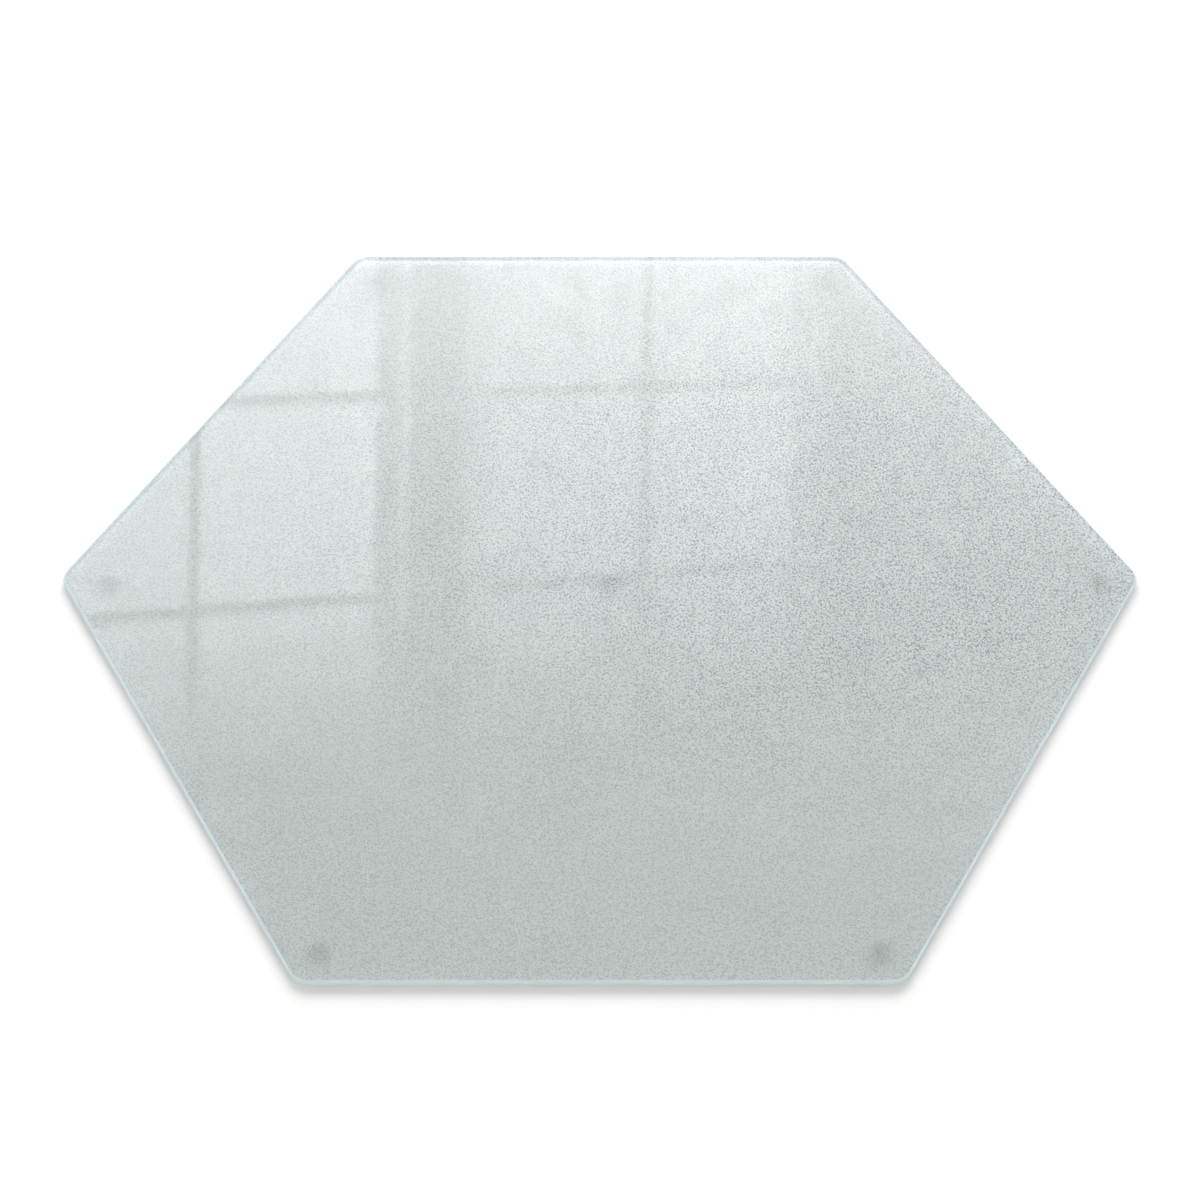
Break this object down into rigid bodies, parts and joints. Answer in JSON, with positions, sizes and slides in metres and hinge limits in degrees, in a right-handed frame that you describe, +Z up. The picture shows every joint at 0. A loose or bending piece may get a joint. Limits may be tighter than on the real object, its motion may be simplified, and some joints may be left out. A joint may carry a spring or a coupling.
{
  "type": "chair mat",
  "caption": "Hexagonal textured tempered glass chair mat with rounded corners and a polished edge, standing clear of the floor on round stick-on pads.",
  "frame": {"origin": "on the floor, under the centre of the hexagon, where the undersides of the pads lie", "axes": "+Z up, out of the textured top face; +X towards the right-hand corner, across the widest part; +Y towards the straight rear edge"},
  "size_m": [1.2114, 1.0558, 0.0094],
  "materials": {
    "tempered_glass": "clear float glass with a fine pebbled top face, a smooth underside and a polished pale blue rim",
    "clear_polyurethane": "soft moulded clear plastic with a satin skin",
    "acrylic_adhesive": "clear pressure-sensitive film"
  },
  "bodies": {
    "root": {"glass_panel": "tempered_glass", "pad_right": "clear_polyurethane", "pad_rear_right": "clear_polyurethane", "pad_rear_left": "clear_polyurethane", "pad_left": "clear_polyurethane", "pad_front_left": "clear_polyurethane", "pad_front_right": "clear_polyurethane", "pad_centre": "clear_polyurethane", "adhesive_right": "acrylic_adhesive", "adhesive_rear_right": "acrylic_adhesive", "adhesive_rear_left": "acrylic_adhesive", "adhesive_left": "acrylic_adhesive", "adhesive_front_left": "acrylic_adhesive", "adhesive_front_right": "acrylic_adhesive", "adhesive_centre": "acrylic_adhesive"}
  },
  "joints": []
}
